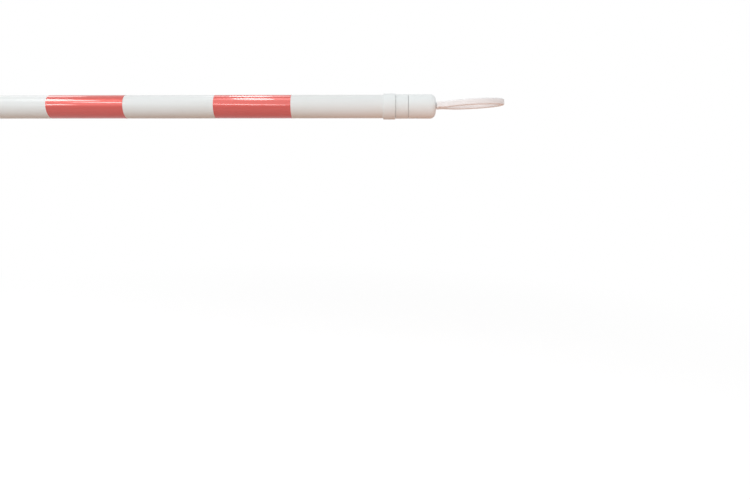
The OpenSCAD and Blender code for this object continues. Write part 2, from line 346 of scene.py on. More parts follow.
# Meshes and pieces

def place_object(name, data):
    """New object at the origin"""
    piece = bpy.data.objects.new(name, data)
    bpy.context.scene.collection.objects.link(piece)
    return piece


def plain_mesh(host):
    """The evaluated mesh of an object, which is then removed"""
    depsgraph = bpy.context.evaluated_depsgraph_get()
    mesh = bpy.data.meshes.new_from_object(host.evaluated_get(depsgraph), depsgraph=depsgraph)
    bpy.data.objects.remove(host)
    return mesh


def grown(name, values, path=None):
    """Mesh that a Geometry Nodes tree makes from named values"""
    tree = tree_named(name)
    host = place_object(name, path or bpy.data.meshes.new(name))
    modifier = host.modifiers.new(name, "NODES")
    modifier.node_group = tree
    sockets = {s.name: s for s in tree.interface.items_tree if s.in_out == "INPUT"}
    for label, value in values.items():
        modifier[sockets[label].identifier] = value
    return plain_mesh(host)


def carved(mesh, tool, operation):
    """One closed mesh cut or joined with another"""
    host = place_object("carve", mesh)
    knife = place_object("carve_tool", tool)
    modifier = host.modifiers.new("carve", "BOOLEAN")
    modifier.operation = operation
    modifier.solver = "EXACT"
    modifier.object = knife
    result = plain_mesh(host)
    bpy.data.objects.remove(knife)
    return result


def keep_piece(name, mesh, body, nodes, slot, finish=None):
    """Finished piece that rides on a body and stands for CAD nodes"""
    if not mesh.polygons:
        raise RuntimeError(f"{name} came out empty")
    mesh.name = name
    mesh.materials.clear()
    mesh.materials.append(finish_of(finish or slot))
    mesh.shade_smooth()
    mesh.set_sharp_from_angle(angle=SHARP_ANGLE)
    piece = place_object(name, mesh)
    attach(piece, body)
    if nodes:
        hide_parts(*nodes)


def mesh_from(bm):
    """Closed mesh with its faces outwards"""
    bmesh.ops.remove_doubles(bm, verts=bm.verts, dist=SAME_POINT)
    bmesh.ops.recalc_face_normals(bm, faces=bm.faces)
    mesh = bpy.data.meshes.new("form")
    bm.to_mesh(mesh)
    bm.free()
    return mesh


def softened(corners, steps):
    """Outline of (x, radius) points whose corners (x, radius, rounding) become arcs"""
    outline = []
    for i, (x, y, rounding) in enumerate(corners):
        point = Vector((x, y))
        before = Vector(corners[i - 1][:2]) - point
        after = Vector(corners[(i + 1) % len(corners)][:2]) - point
        if not rounding:
            outline.append(point)
            continue
        before.normalize()
        after.normalize()
        half = before.angle(after) / 2
        centre = point + (before + after).normalized() * (rounding / math.sin(half))
        start = point + before * (rounding / math.tan(half)) - centre
        end = point + after * (rounding / math.tan(half)) - centre
        turn = start.angle_signed(end)
        for k in range(steps + 1):
            arm = Matrix.Rotation(-turn * k / steps, 2) @ start
            outline.append(centre + arm)
    return outline


def turned(outline, steps):
    """Closed outline of (x, radius) points turned about the bar's axis"""
    bm = bmesh.new()
    rows = []
    for x, radius in outline:
        turns = [math.tau * k / steps for k in range(steps)] if radius >= ON_AXIS else [0.0]
        rows.append([
            bm.verts.new((x, radius * math.cos(t), AXIS_Z + radius * math.sin(t)))
            for t in turns
        ])
    for row, following in zip(rows, rows[1:] + rows[:1]):
        for k in range(steps):
            corners = [
                row[k % len(row)], row[(k + 1) % len(row)],
                following[(k + 1) % len(following)], following[k % len(following)],
            ]
            distinct = list(dict.fromkeys(corners))
            if len(distinct) > 2:
                bm.faces.new(distinct)
    return mesh_from(bm)


def flat_bar(ends, width, height):
    """Flat bar along the axis between two places"""
    start, end = sorted(ends)
    half = Vector((width, height)) / 2
    low = Vector((start, -half.x, AXIS_Z - half.y))
    high = Vector((end, half.x, AXIS_Z + half.y))
    bm = bmesh.new()
    bmesh.ops.create_cube(bm, size=1.0)
    place = Matrix.Translation((high + low) / 2) @ Matrix.Diagonal((*(high - low), 1.0))
    bmesh.ops.transform(bm, matrix=place, verts=bm.verts)
    return mesh_from(bm)


def pin(x, low, high, radius):
    """Upright round pin under or through the bar"""
    bm = bmesh.new()
    bmesh.ops.create_cone(
        bm, cap_ends=True, segments=PIN_STEPS, radius1=radius, radius2=radius, depth=high - low,
        matrix=Matrix.Translation((x, 0.0, (low + high) / 2)),
    )
    return mesh_from(bm)


def arc(centre, radius, start, sweep, steps, facing=1.0):
    """Points of an arc, each with its outward direction"""
    points = []
    for k in range(steps + 1):
        turn = start + sweep * k / steps
        arm = Vector((math.cos(turn), math.sin(turn)))
        points.append((centre + arm * radius, arm * facing))
    return points


# Geometry Nodes trees

ALONG_BAR = (0.0, math.pi / 2, 0.0)
# Places of the Random Value node's lowest and highest number
RANDOM_LOW, RANDOM_HIGH = 2, 3
# Faces round a fine moulding line and along a pin mark
LINE_STEPS, MARK_STEPS = 8, 32


def geometry_group(name, inputs):
    """New Geometry Nodes tree that also takes a material, and its inputs by name"""
    return new_group(name, "GeometryNodeTree", {**inputs, "Material": MATERIAL}, ("Geometry",))


def close_tree(tree, given, geometry):
    """Ends a tree with real faces and its material"""
    real = add(tree, "GeometryNodeRealizeInstances", {0: geometry})
    painted = add(tree, "GeometryNodeSetMaterial", {
        "Geometry": real, "Material": given["Material"],
    })
    add(tree, "NodeGroupOutput", {0: painted})
    return tree


def swept(tree, path, section, capped=False):
    """Section carried along a path"""
    return add(tree, "GeometryNodeCurveToMesh", {
        "Curve": path, "Profile Curve": section, "Fill Caps": capped,
    })


def circle(tree, radius, steps):
    """Round path or section"""
    return add(tree, "GeometryNodeCurvePrimitiveCircle", {"Radius": radius, "Resolution": steps})


def strip(tree, width, height):
    """Rectangular section"""
    return add(tree, "GeometryNodeCurvePrimitiveQuadrilateral", {"Width": width, "Height": height})


def middle_of(tree, given):
    """Middle of a tree's Length from its Start, on the bar's axis"""
    half = add_math(tree, "MULTIPLY", given["Length"], 0.5)
    return combined(tree, x=add_math(tree, "ADD", given["Start"], half), z=given["Axis Height"])


def sleeve_tree(name):
    """Tree of a drawn tube: a soft rectangle carried round a circle"""
    tree, given = geometry_group(name, {
        "Start": 0.0, "Length": 1.0, "Axis Height": 0.0, "Outer Radius": 0.02, "Wall": 0.002,
        "Edge": 0.0003, "Steps": 128,
    })
    half_wall = add_math(tree, "MULTIPLY", given["Wall"], 0.5)
    radius = add_math(tree, "SUBTRACT", given["Outer Radius"], half_wall)
    soft = add(tree, "GeometryNodeFilletCurve", {
        "Curve": strip(tree, given["Wall"], given["Length"]), "Radius": given["Edge"], "Count": 3,
    }, mode="POLY")
    laid = add(tree, "GeometryNodeTransform", {
        "Geometry": swept(tree, circle(tree, radius, given["Steps"]), soft),
        "Translation": middle_of(tree, given), "Rotation": ALONG_BAR,
    })
    return close_tree(tree, given, laid)


def film_tree(name):
    """Tree of lapped film bands at an even pitch along a tube"""
    tree, given = geometry_group(name, {
        "Start": 0.0, "Pitch": 0.3, "Count": 3, "Length": 0.1, "Tube Radius": 0.02,
        "Layer": 0.0001, "Lap": 0.4, "Lap Place": 0.0, "Lap Drift": 0.1, "Seed": 7,
        "Axis Height": 0.0, "Steps": 128,
    })
    turns = add_math(tree, "ADD", 1.0, add_math(tree, "DIVIDE", given["Lap"], math.tau))
    half_layer = add_math(tree, "MULTIPLY", given["Layer"], 0.5)
    radius = add_math(tree, "ADD", given["Tube Radius"], half_layer)
    rise = add_math(tree, "MULTIPLY", given["Layer"], turns)
    path = add(tree, "GeometryNodeCurveSpiral", {
        "Resolution": given["Steps"], "Rotations": turns, "Start Radius": radius,
        "End Radius": add_math(tree, "ADD", radius, rise), "Height": 0.0,
    })
    film = swept(tree, path, strip(tree, given["Layer"], given["Length"]), capped=True)
    places = add(tree, "GeometryNodeMeshLine", {
        "Count": given["Count"], "Start Location": middle_of(tree, given),
        "Offset": combined(tree, x=given["Pitch"]),
    }, mode="OFFSET")
    drift = add(tree, "FunctionNodeRandomValue", {
        RANDOM_LOW: add_math(tree, "MULTIPLY", given["Lap Drift"], -1.0),
        RANDOM_HIGH: given["Lap Drift"], "Seed": given["Seed"],
    }, data_type="FLOAT")
    drifted = next(socket for socket in drift.outputs if socket.enabled)
    laid = add(tree, "GeometryNodeInstanceOnPoints", {
        "Points": places,
        "Instance": add(tree, "GeometryNodeTransform", {"Geometry": film, "Rotation": ALONG_BAR}),
        "Rotation": combined(tree, x=add_math(tree, "ADD", given["Lap Place"], drifted)),
    })
    return close_tree(tree, given, laid)


def mould_tree(name):
    """Tree of a moulding's fine lines: its parting line along a path, and round pin marks"""
    tree, given = geometry_group(name, {
        "Path": GEOMETRY, "Line": 0.0001, "Marks": 8, "Mark Radius": 0.002,
        "Circle Radius": 0.05, "Face": -0.004, "Centre": VECTOR, "Turn": VECTOR,
    })
    section = circle(tree, given["Line"], LINE_STEPS)
    path = add(tree, "GeometryNodeMeshToCurve", {0: given["Path"]})
    parting = swept(tree, path, section, capped=True)
    places = add(tree, "GeometryNodeMeshCircle", {
        "Vertices": given["Marks"], "Radius": given["Circle Radius"],
    })
    lowered = add(tree, "GeometryNodeTransform", {
        "Geometry": places, "Translation": combined(tree, z=given["Face"]),
    })
    mark = swept(tree, circle(tree, given["Mark Radius"], MARK_STEPS), section)
    marks = add(tree, "GeometryNodeInstanceOnPoints", {"Points": lowered, "Instance": mark})
    laid = add(tree, "GeometryNodeTransform", {
        "Geometry": marks, "Translation": given["Centre"], "Rotation": given["Turn"],
    })
    both = add(tree, "GeometryNodeJoinGeometry", {0: parting})
    feed(tree, both, {0: laid})
    return close_tree(tree, given, both)


# Shader groups

def shader_group(name, inputs, outputs=("Mask",)):
    """New shader group on a vector, and its inputs by name"""
    return new_group(name, "ShaderNodeTree", {"Vector": VECTOR, **inputs}, outputs)


def close_mask(tree, given, shown):
    """Ends a group with its mask times its Amount"""
    add(tree, "NodeGroupOutput", {"Mask": add_math(tree, "MULTIPLY", shown, given["Amount"])})
    return tree


def drawn_out(tree, given):
    """A group's vector at its Scale, drawn out along the bar by its Stretch"""
    along = add_math(tree, "DIVIDE", given["Scale"], given["Stretch"])
    scale = combined(tree, along, given["Scale"], given["Scale"])
    return add(tree, "ShaderNodeVectorMath", {0: given["Vector"], 1: scale}, operation="MULTIPLY")


def rub_group(name):
    """Long faint rub marks in patches"""
    tree, given = shader_group(name, {"Scale": 400.0, "Stretch": 20.0, "Amount": 0.5})
    lines = add_noise(tree, drawn_out(tree, given), Scale=1.0, Detail=3.0, Roughness=0.62,
                      Distortion=0.3)
    patches = add_noise(tree, given["Vector"], Scale=17.0, Detail=2.0)
    return close_mask(tree, given, add_math(
        tree, "MULTIPLY", add_range(tree, lines, low=0.60, high=0.74),
        add_range(tree, patches, low=0.46, high=0.66),
    ))


def grain_group(name):
    """Fine surface grain as a value between two levels, and as a height"""
    tree, given = shader_group(
        name, {"Scale": 900.0, "Stretch": 1.0, "Low": 0.3, "High": 0.4}, ("Value", "Height"))
    noise = add_noise(tree, drawn_out(tree, given), Scale=1.0, Detail=4.0, Roughness=0.55)
    level = add_range(tree, noise, low=0.3, high=0.7, start=given["Low"], end=given["High"],
                      kind="LINEAR")
    add(tree, "NodeGroupOutput", {"Value": level, "Height": noise})
    return tree


def patch_group(name):
    """Broad soft patches"""
    tree, given = shader_group(name, {"Scale": 8.0, "Amount": 0.5})
    noise = add_noise(tree, given["Vector"], Scale=given["Scale"], Detail=3.0, Roughness=0.5)
    return close_mask(tree, given, add_range(tree, noise, low=0.38, high=0.68))


def seam_group(name):
    """Painted shade and dust beside two seams that run round the bar: darker close to each seam"""
    tree, given = shader_group(name, {
        "First Seam": 0.0, "Second Seam": 0.0, "Reach": 0.002, "Amount": 0.5,
    })
    place = add(tree, "ShaderNodeSeparateXYZ", {0: given["Vector"]}).outputs["X"]
    gaps = [
        add_math(tree, "ABSOLUTE", add_math(tree, "SUBTRACT", place, given[seam]))
        for seam in ("First Seam", "Second Seam")
    ]
    nearest = add_math(tree, "MINIMUM", *gaps)
    near = add_range(tree, nearest, low=0.0, high=given["Reach"], start=1.0, end=0.0)
    noise = add_noise(tree, given["Vector"], Scale=260.0, Detail=4.0)
    broken = add_range(tree, noise, low=0.35, high=0.7, kind="LINEAR")
    return close_mask(tree, given, add_math(tree, "MULTIPLY", near, broken))


TREES = {
    "drawn_tube": sleeve_tree, "film_bands": film_tree, "mould_lines": mould_tree,
    "rub_marks": rub_group, "fine_grain": grain_group, "soft_patches": patch_group,
    "seam_dust_and_shade": seam_group,
}


# Finishes

class Finish:
    """Material on Object coordinates that is built up in layers over a first colour"""

    WORN_ROUGHNESS = 0.3

    def __init__(self, name, base, **constants):
        self.material = bpy.data.materials.new(f"{name}_finish")
        self.material.use_nodes = True
        self.tree = self.material.node_tree
        self.shader = self.tree.nodes["Principled BSDF"]
        feed(self.tree, self.shader, self.spaced(constants))
        self.vector = add(self.tree, "ShaderNodeTexCoord").outputs["Object"]
        self.tone = rgba(base)

    @staticmethod
    def spaced(inputs):
        """Inputs under the sockets' own names"""
        return {key.replace("_", " "): value for key, value in inputs.items()}

    def group(self, name, **inputs):
        """Places a shared group in the material"""
        named = {"Vector": self.vector, **self.spaced(inputs)}
        return add(self.tree, "ShaderNodeGroup", named, node_tree=tree_named(name))

    def layer(self, over, mask):
        """Lays a colour over the tone where a mask shows, and gives the mask back"""
        self.tone = blend(self.tree, self.tone, rgba(over), mask)
        return mask

    def close(self, depth, worn=None, **grain):
        """Ends the material with its tone and a fine grain that is rougher where it is worn"""
        texture = self.group("fine_grain", **grain)
        rough = texture.outputs["Value"]
        if worn is not None:
            wear = add_math(self.tree, "MULTIPLY", worn, self.WORN_ROUGHNESS)
            rough = add_math(self.tree, "ADD", rough, wear)
        bump = add(self.tree, "ShaderNodeBump", {
            "Height": texture.outputs["Height"], "Distance": depth, "Strength": 1.0,
        })
        feed(self.tree, self.shader, {"Base Color": self.tone, "Roughness": rough, "Normal": bump})
        return self.material


def white_plastic(name, base, aged, gloss, seams, rub, depth, **grain):
    """White plastic: broad tone patches, rub marks, painted shade and dust at the seams, and a fine grain"""
    colours = bpy.context.scene.bar_colours
    finish = Finish(name, base, IOR=1.5, Specular_IOR_Level=gloss)
    finish.layer(aged, finish.group("soft_patches", Scale=9.0, Amount=0.6))
    marks = finish.layer(colours.scuff_grey, finish.group("rub_marks", **rub))
    # Painted shade and dust: the plastic is darkened within a millimetre of each seam
    finish.layer(colours.seam_dirt_and_shade, finish.group(
        "seam_dust_and_shade", First_Seam=seams[0], Second_Seam=seams[1], Reach=1.0 * MM, Amount=0.1,
    ))
    return finish.close(depth, marks, **grain)


def tube_finish(colours):
    """Glossy drawn tube with faint die lines along it"""
    return white_plastic(
        "white_tube", colours.tube_white, colours.tube_aged, gloss=0.08,
        seams=(span("tail_cap")[1], span("lock_collar")[0]),
        rub={"Scale": 900.0, "Stretch": 30.0, "Amount": 0.16},
        depth=0.006 * MM, Scale=1500.0, Stretch=220.0, Low=0.22, High=0.30,
    )


def moulded(name, base, flow):
    """Satin moulded plastic with a fine even grain"""
    return white_plastic(
        name, base, flow, gloss=0.15, seams=span("lock_ring"),
        rub={"Scale": 700.0, "Stretch": 6.0, "Amount": 0.14},
        depth=0.02 * MM, Scale=2600.0, Stretch=1.0, Low=0.42, High=0.54,
    )


def moulding_finish(colours):
    """Plastic of the caps, the collar and the lock ring"""
    return moulded("white_moulding", colours.moulding_white, colours.moulding_flow)


def lit_ring_finish(colours):
    """Plastic of the end rings, with its white painted brighter and warmer than the other mouldings' white as
    painted light
    """
    return moulded("lit_end_ring", colours.ring_lit_white, colours.ring_lit_flow)


def film_finish(colours):
    """Glossy beaded film: a red reflecting layer under a clear face"""
    finish = Finish(
        "red_film", colours.film_red, Metallic=0.15, Specular_IOR_Level=0.05, Coat_Weight=1.0,
        Coat_Roughness=0.04, Coat_IOR=1.5,
    )
    beads = add(finish.tree, "ShaderNodeTexVoronoi", {"Vector": finish.vector, "Scale": 3200.0})
    sparkle = add_range(finish.tree, beads, low=0.25, high=0.75, kind="LINEAR")
    finish.layer(colours.film_deep, sparkle)
    finish.layer(colours.film_deep, finish.group("soft_patches", Scale=30.0, Amount=0.35))
    finish.layer(colours.scuff_grey, finish.group(
        "rub_marks", Scale=900.0, Stretch=12.0, Amount=0.10))
    return finish.close(depth=0.007 * MM, Scale=180.0, Stretch=24.0, Low=0.28, High=0.38)


def grey_finish(colours):
    """Natural moulded plastic of the hidden bushes and inserts"""
    finish = Finish("grey_plastic", colours.grey_plastic, IOR=1.5)
    finish.layer(colours.scuff_grey, finish.group("soft_patches", Scale=60.0, Amount=0.4))
    finish.layer(colours.tube_white, finish.group(
        "rub_marks", Scale=900.0, Stretch=14.0, Amount=0.35))
    return finish.close(depth=0.03 * MM, Scale=2200.0, Stretch=1.0, Low=0.42, High=0.55)


def felt_finish(colours):
    """Pressed felt of the wiper: matted fibres"""
    finish = Finish("felt", colours.felt, Sheen_Weight=0.4, Sheen_Roughness=0.5)
    finish.layer(colours.scuff_grey, finish.group(
        "rub_marks", Scale=5200.0, Stretch=5.0, Amount=0.8))
    return finish.close(depth=0.2 * MM, Scale=3400.0, Stretch=3.0, Low=0.82, High=0.98)


def rubber_finish(colours):
    """Matt black rubber of the drag ring"""
    finish = Finish("rubber", colours.rubber, IOR=1.5)
    finish.layer(colours.felt, finish.group("soft_patches", Scale=140.0, Amount=0.25))
    return finish.close(depth=0.04 * MM, Scale=2600.0, Stretch=1.0, Low=0.6, High=0.75)


def steel_finish(colours):
    """Zinc plated steel with fine turning lines"""
    finish = Finish("steel", colours.steel, Metallic=1.0)
    finish.layer(colours.scuff_grey, finish.group("soft_patches", Scale=420.0, Amount=0.6))
    return finish.close(depth=0.015 * MM, Scale=2400.0, Stretch=0.4, Low=0.26, High=0.42)


FINISHES = {
    "white_tube": tube_finish, "white_moulding": moulding_finish, "red_film": film_finish,
    "grey_plastic": grey_finish, "felt": felt_finish, "rubber": rubber_finish,
    "steel": steel_finish, "lit_end_ring": lit_ring_finish,
}


def finish_of(name):
    """Detailed material of one of the record's slots or of the end rings with their painted light, built once"""
    made = bpy.data.materials.get(f"{name}_finish")
    return made or FINISHES[name](bpy.context.scene.bar_colours)


# Operators: one for each group of pieces

class BAR_OT_tubes(Operator):
    """Draw the outer and the inner tube"""

    bl_idname = "bar.tubes"
    bl_label = "Tubes"

    def execute(self, context):
        sizes = context.scene.bar_sizes
        for part, wall in (("outer", sizes.tube_wall), ("inner", sizes.inner_wall)):
            node = f"{part}_tube"
            start, end = span(node)
            mesh = grown("drawn_tube", {
                "Start": start, "Length": end - start, "Axis Height": AXIS_Z,
                "Outer Radius": girth(node), "Wall": wall, "Edge": sizes.tube_edge,
                "Steps": sizes.turn_steps, "Material": finish_of("white_tube"),
            })
            keep_piece(f"{node}_fine", mesh, f"{part}_bar", [node], "white_tube")
        return {"FINISHED"}


class BAR_OT_films(Operator):
    """Wrap the red films round the tubes"""

    bl_idname = "bar.films"
    bl_label = "Film bands"

    def execute(self, context):
        sizes = context.scene.bar_sizes
        for part in ("outer", "inner"):
            nodes = sorted(n for n in frame["nodes"] if n.startswith(f"{part}_band"))
            start, end = span(nodes[0])
            mesh = grown("film_bands", {
                "Start": start, "Pitch": span(nodes[1])[0] - start, "Count": len(nodes),
                "Length": end - start, "Tube Radius": girth(f"{part}_tube"),
                "Layer": sizes.film_layer, "Lap": sizes.film_lap,
                "Lap Place": sizes.film_lap_place, "Lap Drift": sizes.film_lap_drift,
                "Seed": sizes.film_seed, "Axis Height": AXIS_Z, "Steps": sizes.turn_steps,
                "Material": finish_of("red_film"),
            })
            keep_piece(f"{part}_band_films", mesh, f"{part}_bar", nodes, "red_film")
        return {"FINISHED"}


class BAR_OT_lock(Operator):
    """Turn the lock collar and the lock ring"""

    bl_idname = "bar.lock"
    bl_label = "Lock"

    def execute(self, context):
        sizes = context.scene.bar_sizes
        for node, body, outline in (
            ("lock_collar", "outer_bar", self.collar(sizes)),
            ("lock_ring", "lock", self.ring(sizes)),
        ):
            mesh = turned(softened(outline, sizes.corner_steps), sizes.turn_steps)
            keep_piece(f"{node}_fine", mesh, body, [node], "white_moulding")
        return {"FINISHED"}

    def collar_end(self, sizes):
        """Where the collar ends and its spigot starts"""
        return span("lock_collar")[1] - sizes.spigot_length

    def collar(self, sizes):
        """Outline of the collar with its web, spigot and snap bead"""
        start, tip = span("lock_collar")
        end = self.collar_end(sizes)
        bead = end + sizes.bead_setback
        outer, tube = girth("lock_collar"), girth("outer_tube")
        soft = sizes.tube_edge
        return (
            (start, tube, 0.0), (start, outer, sizes.collar_edge), (end, outer, sizes.collar_edge),
            (end, sizes.spigot_radius, 0.0), (bead, sizes.spigot_radius, 0.0),
            (bead, sizes.bead_radius, sizes.run_gap),
            (bead + sizes.bead_width, sizes.bead_radius, sizes.run_gap),
            (bead + sizes.bead_width, sizes.spigot_radius, 0.0),
            (tip, sizes.spigot_radius, soft), (tip, sizes.pass_radius, soft),
            (end - sizes.collar_web, sizes.pass_radius, soft), (end - sizes.collar_web, tube, 0.0),
        )

    def ring(self, sizes):
        """Outline of the lock ring with its chamber, bead groove, lip and wiper groove"""
        start, end = span("lock_ring")
        wiper_start, wiper_end = span("wiper_ring")
        chamber = sizes.spigot_radius + sizes.run_gap
        groove = sizes.bead_radius + sizes.run_gap
        bead = self.collar_end(sizes) + sizes.bead_setback - sizes.side_gap
        bead_end = bead + sizes.bead_width + 2 * sizes.side_gap
        lip = end - sizes.lock_lip
        outer, soft = girth("lock_ring"), sizes.tube_edge
        return (
            (start, chamber, soft), (start, outer, sizes.lock_edge),
            (end, outer, sizes.lock_edge), (end, sizes.pass_radius, soft),
            (wiper_end + sizes.side_gap, sizes.pass_radius, 0.0),
            (wiper_end + sizes.side_gap, sizes.wiper_seat, 0.0),
            (wiper_start - sizes.side_gap, sizes.wiper_seat, 0.0),
            (wiper_start - sizes.side_gap, sizes.pass_radius, 0.0),
            (lip, sizes.pass_radius, soft), (lip, chamber, soft),
            (bead_end, chamber, 0.0), (bead_end, groove, 0.0),
            (bead, groove, 0.0), (bead, chamber, 0.0),
        )


class BAR_OT_caps(Operator):
    """Turn the two end caps, with their blade slots and screw recesses"""

    bl_idname = "bar.caps"
    bl_label = "End caps"

    def execute(self, context):
        sizes = context.scene.bar_sizes
        for end, body in ENDS.items():
            mesh = self.cap(sizes, end)
            keep_piece(f"{end}_cap_fine", mesh, body, [f"{end}_cap"], "white_moulding")
        return {"FINISHED"}

    def cap(self, sizes, end):
        """One cap: its turned body less the slot, the screw's recess and the screw's hole"""
        mouth, tip, out = inner_outer(end, "cap")
        outer, socket, bore = girth(f"{end}_cap"), girth("inner_tube"), girth("head_insert")
        seat = mouth + out * sizes.socket_depth
        floor = tip - out * sizes.cap_end_wall
        mesh = turned(softened((
            (mouth, socket, sizes.tube_edge), (mouth, outer, sizes.cap_edge),
            (tip, outer, sizes.cap_round), (tip, 0.0, 0.0), (floor, 0.0, 0.0),
            (floor, bore, sizes.tube_edge), (seat, bore, 0.0), (seat, socket, 0.0),
        ), 2 * sizes.corner_steps), sizes.turn_steps)
        screw = f"{end}_screw"
        x, under = middle_x(screw), AXIS_Z - 2 * outer
        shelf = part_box(screw)[0].z + sizes.head_height
        past_tip = tip + out * sizes.cap_end_wall
        for tool in (
            flat_bar((seat, past_tip), sizes.slot_width, sizes.slot_height),
            pin(x, under, shelf, half_width(screw) + sizes.head_room),
            pin(x, under, AXIS_Z, sizes.screw_hole),
        ):
            mesh = carved(mesh, tool, "DIFFERENCE")
        return mesh


class BAR_OT_rings(Operator):
    """Mould the two end rings with their necks and blades"""

    bl_idname = "bar.rings"
    bl_label = "End rings"

    def execute(self, context):
        sizes = context.scene.bar_sizes
        for end, body in ENDS.items():
            centre, tip, place = self.frame_of(sizes, end)
            reach = (centre - tip).length
            outline = self.outline(sizes, reach)
            mesh = self.moulding(sizes, outline, reach, place)
            mesh = carved(mesh, self.blade(sizes, end, tip), "UNION")
            screw = f"{end}_screw"
            low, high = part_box(screw)
            hole = pin(middle_x(screw), low.z, high.z, sizes.screw_hole)
            mesh = carved(mesh, hole, "DIFFERENCE")
            ring = f"{end}_ring"
            # The ring keeps the moulding's slot but takes the end-ring finish, whose brighter white is painted
            # light
            keep_piece(f"{ring}_fine", mesh, body, [ring], "white_moulding", "lit_end_ring")
            lines = self.lines(sizes, outline, centre, place)
            keep_piece(f"{ring}_lines", lines, body, [], "white_moulding", "lit_end_ring")
        return {"FINISHED"}

    def frame_of(self, sizes, end):
        """Ring's centre, where its plane meets the cap's end, and the plane's matrix"""
        centre = Vector(MOUNTS[f"{end}_ring_bore"]["pos_m"])
        tip = Vector((inner_outer(end, "cap")[1], 0.0, AXIS_Z + sizes.ring_rise))
        along = (centre - tip).normalized()
        across = Vector((0.0, 1.0, 0.0))
        up = along.cross(across) if end == "head" else across.cross(along)
        place = Matrix((along, across, up)).transposed().to_4x4()
        place.translation = tip
        return centre, tip, place

    def outline(self, sizes, reach):
        """Points and outward directions from one side of the neck's root round to the other"""
        half, corner, fillet = sizes.neck_half, sizes.neck_round, sizes.neck_fillet
        steps = 4 * sizes.corner_steps
        hub = Vector((reach, 0.0))
        bend_y = half + fillet
        bend = Vector((reach - math.sqrt((RING_RADIUS + fillet) ** 2 - bend_y ** 2), bend_y))
        meet = abs((bend - hub).angle_signed(Vector((1.0, 0.0))))
        pivot = Vector((sizes.neck_gap + corner, half - corner))
        side = arc(pivot, corner, math.pi, -math.pi / 2, steps)
        side += arc(bend, fillet, -math.pi / 2, meet - math.pi / 2, steps, facing=-1.0)[:-1]
        ring = arc(hub, RING_RADIUS, meet, -2 * meet, sizes.ring_steps)
        flip = [(Vector((p.x, -p.y)), Vector((n.x, -n.y))) for p, n in reversed(side)]
        return side + ring + flip

    def moulding(self, sizes, outline, reach, place):
        """Ring and neck with soft edges, as a closed mesh"""
        edge, half = sizes.ring_edge, sizes.ring_thick / 2
        steps = sizes.corner_steps
        turns = [math.pi / 2 * k / steps for k in range(steps + 1)]
        drops = [(1 - math.sin(t), half - edge * (1 - math.cos(t))) for t in turns]
        levels = drops + [(inset, -z) for inset, z in reversed(drops)]
        bm = bmesh.new()

        def vertex(point, z):
            return bm.verts.new(place @ Vector((point.x, point.y, z)))

        width = sizes.neck_half - sizes.neck_round
        root = [
            (Vector((sizes.neck_gap, width * (2 * k / steps - 1))), Vector((-1.0, 0.0)))
            for k in range(1, steps)
        ]
        hub = Vector((reach, 0.0))
        walls, bores = [], []
        for point, normal in outline + root:
            walls.append([vertex(point - normal * edge * inset, z) for inset, z in levels])
            arm = (point - normal * edge - hub).normalized()
            bores.append([vertex(hub + arm * (RING_BORE + edge * inset), z) for inset, z in levels])
        for i, wall in enumerate(walls):
            j = (i + 1) % len(walls)
            bm.faces.new((wall[0], walls[j][0], bores[j][0], bores[i][0]))
            bm.faces.new((wall[-1], bores[i][-1], bores[j][-1], walls[j][-1]))
            for k in range(len(levels) - 1):
                bm.faces.new((wall[k], wall[k + 1], walls[j][k + 1], walls[j][k]))
                bm.faces.new((bores[i][k], bores[j][k], bores[j][k + 1], bores[i][k + 1]))
        return mesh_from(bm)

    def blade(self, sizes, end, tip):
        """Flat blade that holds the ring in its cap"""
        root, _, out = inner_outer(end, "ring")
        bite = tip.x + out * sizes.blade_bite
        return flat_bar((root, bite), sizes.blade_width, sizes.blade_height)

    def lines(self, sizes, outline, centre, place):
        """Parting line round the edge and pin marks underneath"""
        path = bpy.data.meshes.new("parting_path")
        points = [place @ Vector((p.x, p.y, 0.0)) for p, n in outline]
        path.from_pydata(points, [(i, i + 1) for i in range(len(points) - 1)], [])
        tilt = Vector((0.0, 0.0, 1.0)).rotation_difference(place.to_3x3().col[2])
        return grown("mould_lines", {
            "Line": sizes.mark_line, "Marks": sizes.mark_count, "Mark Radius": sizes.mark_radius,
            "Circle Radius": (RING_RADIUS + RING_BORE) / 2, "Face": -sizes.ring_thick / 2,
            "Centre": centre, "Turn": Vector(tilt.to_euler()), "Material": finish_of("lit_end_ring"),
        }, path)


